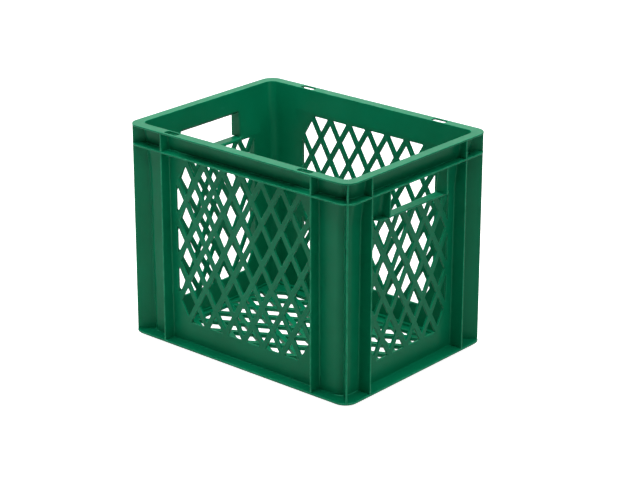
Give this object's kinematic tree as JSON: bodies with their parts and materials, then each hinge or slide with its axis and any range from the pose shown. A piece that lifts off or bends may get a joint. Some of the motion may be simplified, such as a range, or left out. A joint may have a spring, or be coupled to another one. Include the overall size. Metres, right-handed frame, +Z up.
{
  "type": "stacking plastic crate",
  "caption": "Open-top rectangular stacking crate with diamond-lattice walls and floor, a flat slotted rim, outside ribs and hand openings in its short sides.",
  "frame": {"origin": "centre of the underside, in the plane the stacking foot stands on", "axes": "+X along the 400 mm side, +Y along the 300 mm side, +Z up"},
  "size_m": [0.4, 0.3, 0.32],
  "materials": {
    "green_polyethylene": "satin moulded high-density polyethylene"
  },
  "bodies": {
    "root": {"base_flange_back": "green_polyethylene", "base_flange_corner_back_left": "green_polyethylene", "base_flange_corner_back_right": "green_polyethylene", "base_flange_corner_front_left": "green_polyethylene", "base_flange_corner_front_right": "green_polyethylene", "base_flange_front": "green_polyethylene", "base_flange_left": "green_polyethylene", "base_flange_right": "green_polyethylene", "corner_post_back_left": "green_polyethylene", "corner_post_back_right": "green_polyethylene", "corner_post_front_left": "green_polyethylene", "corner_post_front_right": "green_polyethylene", "corner_rib_back_left": "green_polyethylene", "corner_rib_back_right": "green_polyethylene", "corner_rib_front_left": "green_polyethylene", "corner_rib_front_right": "green_polyethylene", "floor_lattice": "green_polyethylene", "foot_rail_back": "green_polyethylene", "foot_rail_front": "green_polyethylene", "foot_rail_left": "green_polyethylene", "foot_rail_right": "green_polyethylene", "handle_cheek_left_back": "green_polyethylene", "handle_cheek_left_front": "green_polyethylene", "handle_cheek_right_back": "green_polyethylene", "handle_cheek_right_front": "green_polyethylene", "handle_panel_left": "green_polyethylene", "handle_panel_right": "green_polyethylene", "handle_sill_left": "green_polyethylene", "handle_sill_right": "green_polyethylene", "lattice_panel_back": "green_polyethylene", "lattice_panel_front": "green_polyethylene", "lattice_panel_left": "green_polyethylene", "lattice_panel_right": "green_polyethylene", "ledge_back": "green_polyethylene", "ledge_corner_back_left": "green_polyethylene", "ledge_corner_back_right": "green_polyethylene", "ledge_corner_front_left": "green_polyethylene", "ledge_corner_front_right": "green_polyethylene", "ledge_front": "green_polyethylene", "ledge_left": "green_polyethylene", "ledge_right": "green_polyethylene", "long_side_rib_back_left": "green_polyethylene", "long_side_rib_back_right": "green_polyethylene", "long_side_rib_front_left": "green_polyethylene", "long_side_rib_front_right": "green_polyethylene", "rim_back": "green_polyethylene", "rim_corner_back_left": "green_polyethylene", "rim_corner_back_right": "green_polyethylene", "rim_corner_front_left": "green_polyethylene", "rim_corner_front_right": "green_polyethylene", "rim_front": "green_polyethylene", "rim_left": "green_polyethylene", "rim_right": "green_polyethylene", "short_side_rib_left_back": "green_polyethylene", "short_side_rib_left_front": "green_polyethylene", "short_side_rib_right_back": "green_polyethylene", "short_side_rib_right_front": "green_polyethylene", "upper_band_back": "green_polyethylene", "upper_band_front": "green_polyethylene"}
  },
  "joints": []
}
